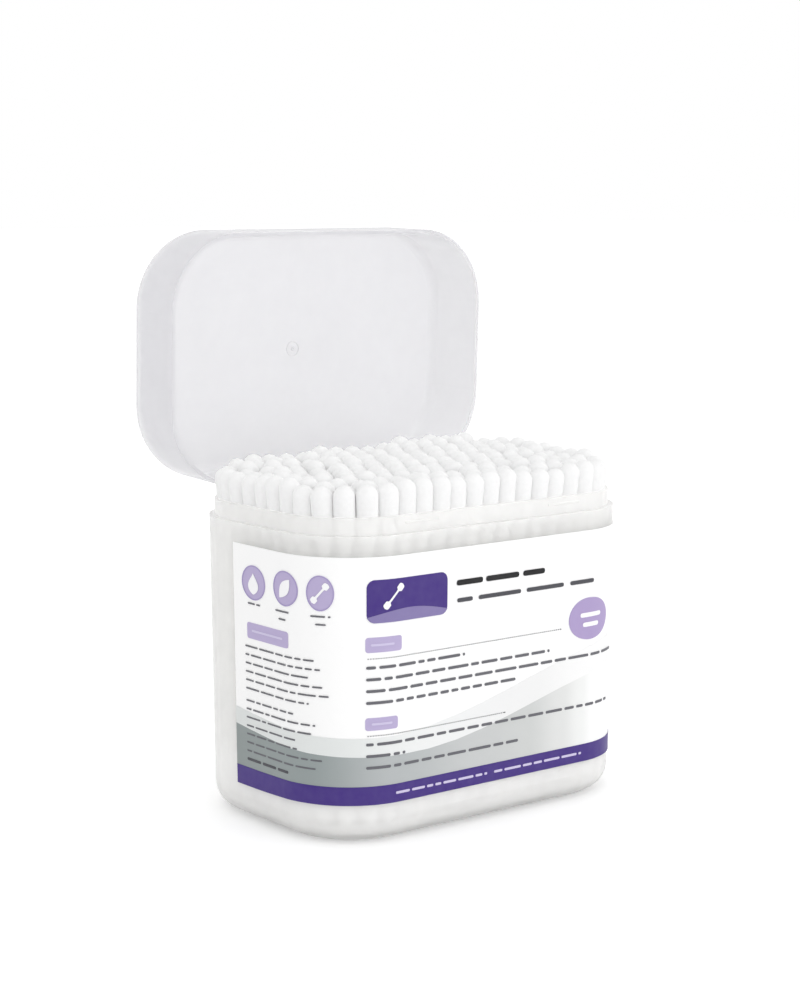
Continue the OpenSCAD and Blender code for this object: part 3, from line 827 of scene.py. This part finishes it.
def swabPlaces(name, end):
    # each swab stands where its CAD tip does: the tips' extreme points, within 0.01 mm of the highest or the
    # lowest, are their noses, and rounding to 0.01 mm makes one place of each
    points = np.zeros(len(nodes[name].data.vertices) * 3, np.float32)
    nodes[name].data.vertices.foreach_get("co", points)
    points = points.reshape(-1, 3)
    extreme = points[:, 2].max() if end > 0 else points[:, 2].min()
    noses = points[np.abs(points[:, 2] - extreme) < 0.01 * mm]
    places = np.unique(np.round(noses[:, :2] / mm, 2), axis=0)
    return places, extreme / mm


def tipProfile():
    # the rings' distances down from the nose, how far each is into the neck, and its radius, which follows a
    # quarter circle over the nose and loses thinning * share^2 over the neck
    nose, neck, length = cotton["nose"], cotton["neck"], cotton["length"]
    down = np.concatenate(
        [nose * np.array(cotton["noseRings"]), cotton["barrelRings"], [length - neck],
         length - neck * np.array(cotton["neckRings"])]
    )
    inNose = np.clip(1 - down / nose, 0, 1)
    share = np.clip((down - length + neck) / neck, 0, 1)
    thinning = cotton["radius"] - cotton["neckRadius"]
    return down, share, cotton["radius"] * np.sqrt(1 - inNose**2) - thinning * share**2


def tipFaces(count, ringCount, end):
    # quads between the rings, and a fan round the nose and the neck, the same for every tip
    around = cotton["around"]
    perTip = ringCount * around + 2
    index = np.arange(ringCount * around).reshape(ringCount, around)
    nextOne = np.roll(index, -1, axis=1)
    quads = np.stack([index[:-1], index[1:], nextOne[1:], nextOne[:-1]], -1).reshape(-1, 4)
    noseFan = np.stack([np.full(around, perTip - 2), index[0], nextOne[0]], -1)
    neckFan = np.stack([np.full(around, perTip - 1), nextOne[-1], index[-1]], -1)
    if end < 0:
        quads, noseFan, neckFan = quads[:, ::-1], noseFan[:, ::-1], neckFan[:, ::-1]
    firsts = perTip * np.arange(count)[:, None, None]
    faces = []
    for group in (quads, noseFan, neckFan):
        faces += (group[None] + firsts).reshape(-1, group.shape[1]).tolist()
    return faces


def tipRow(name, end, material, rng):
    # the radius is profile * fatness * (1 + lump * (waves - level)), with waves as sines of the turn and the
    # distance down. Every nose leans and rises by chance. The upper ones also lean outward, by splay * their
    # share of the way out, and rise towards the back right; the lower ones stand on the raised floor
    places, extreme = swabPlaces(name, end)
    count, around = len(places), cotton["around"]
    down, share, profile = tipProfile()
    turn = np.arange(around) * 2 * math.pi / around
    phase = rng.random((count, 4, 1, 1)) * 2 * math.pi
    t, d = turn[None, None, :], down[None, :, None]
    lumps = sum(
        strength * np.sin(waves * t + twist * d + phase[:, i])
        for i, (waves, twist, strength) in enumerate(cotton["waves"])
    ) / sum(strength for _, _, strength in cotton["waves"])
    fatness = 1 + cotton["wander"] * (rng.random((count, 1, 1)) * 2 - cotton["wanderLevel"])
    radius = profile[None, :, None] * fatness * (1 + cotton["lump"] * (lumps - cotton["lumpLevel"]))
    lean = cotton["lean"] * (rng.random((count, 2, 1, 1)) * 2 - 1) * (1 - d / cotton["length"])
    rise = rng.uniform(*cotton["rise"], (count, 1, 1))
    if end > 0:
        halves = np.array([wall["width"], wall["depth"]]) / 2
        free = np.clip(1 - down / cotton["freeLength"], 0, 1)[None, None, :, None]
        lean = lean + cotton["splay"] * (places / halves)[:, :, None, None] * free
        right = np.interp(places[:, 0] / halves[0], cotton["riseAlong"], (0, 1))[:, None, None]
        rise = rise + cotton["backRise"] * right * (places[:, 1, None, None] / halves[1] + 1) / 2
    else:
        rise = np.minimum(rise, 0) * cotton["footShare"] - cotton["footing"]
    rise = rise * (1 - share[None, :, None])
    x = places[:, 0, None, None] + radius * np.cos(t) + lean[:, 0]
    y = places[:, 1, None, None] + radius * np.sin(t) + lean[:, 1]
    z = extreme - end * (d - rise) + 0 * x
    rings = np.stack([x, y, z], -1)  # tips, rings, around, axes
    noseTip = np.column_stack([places + lean[:, :, 0, 0], extreme + end * rise[:, 0, 0]])[:, None]
    neckEnd = np.column_stack([places, np.full(count, extreme - end * cotton["length"])])[:, None]
    points = np.concatenate([rings.reshape(count, -1, 3), noseTip, neckEnd], 1) * mm
    piece = meshPiece("cotton_" + name, points, tipFaces(count, len(down), end), material, smooth=True)
    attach(piece, "base")
    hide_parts(name)
    return piece


def rolledPaper():
    # white paper rolled tight: matte, its colour running from shade to white with a grain along the stem
    material, tree, principled = newMaterial("rolled white paper")
    place = addNode(tree, "TexCoord").outputs["Object"]
    scale = tuple(1 / (size * mm) for size in paper["grain"])
    stretched = addNode(tree, "Mapping", {"Scale": scale}, {"Vector": place})
    grain = addNode(tree, "TexNoise", {"Scale": 1.0, "Detail": 2.0}, {"Vector": stretched.outputs[0]})
    colour = addNode(
        tree, "Mix",
        {"data_type": "RGBA", 6: linearColour(paper["shade"]), 7: linearColour(paper["white"])},
        {0: grain.outputs["Fac"]},
    )
    tree.links.new(colour.outputs[2], principled.inputs["Base Color"])
    principled.inputs["Roughness"].default_value = paper["roughness"]
    return material


cottonMaterial = cottonFibre()
paperMaterial = rolledPaper()
chance = np.random.default_rng(7)
for node in sorted(nodes):
    if node.startswith("swab_top_tips"):
        tipRow(node, 1, cottonMaterial, chance)
    elif node.startswith("swab_bottom_tips"):
        tipRow(node, -1, cottonMaterial, chance)
    elif node.startswith("swab_stems"):
        dress(node, paperMaterial)
print("swabs made")
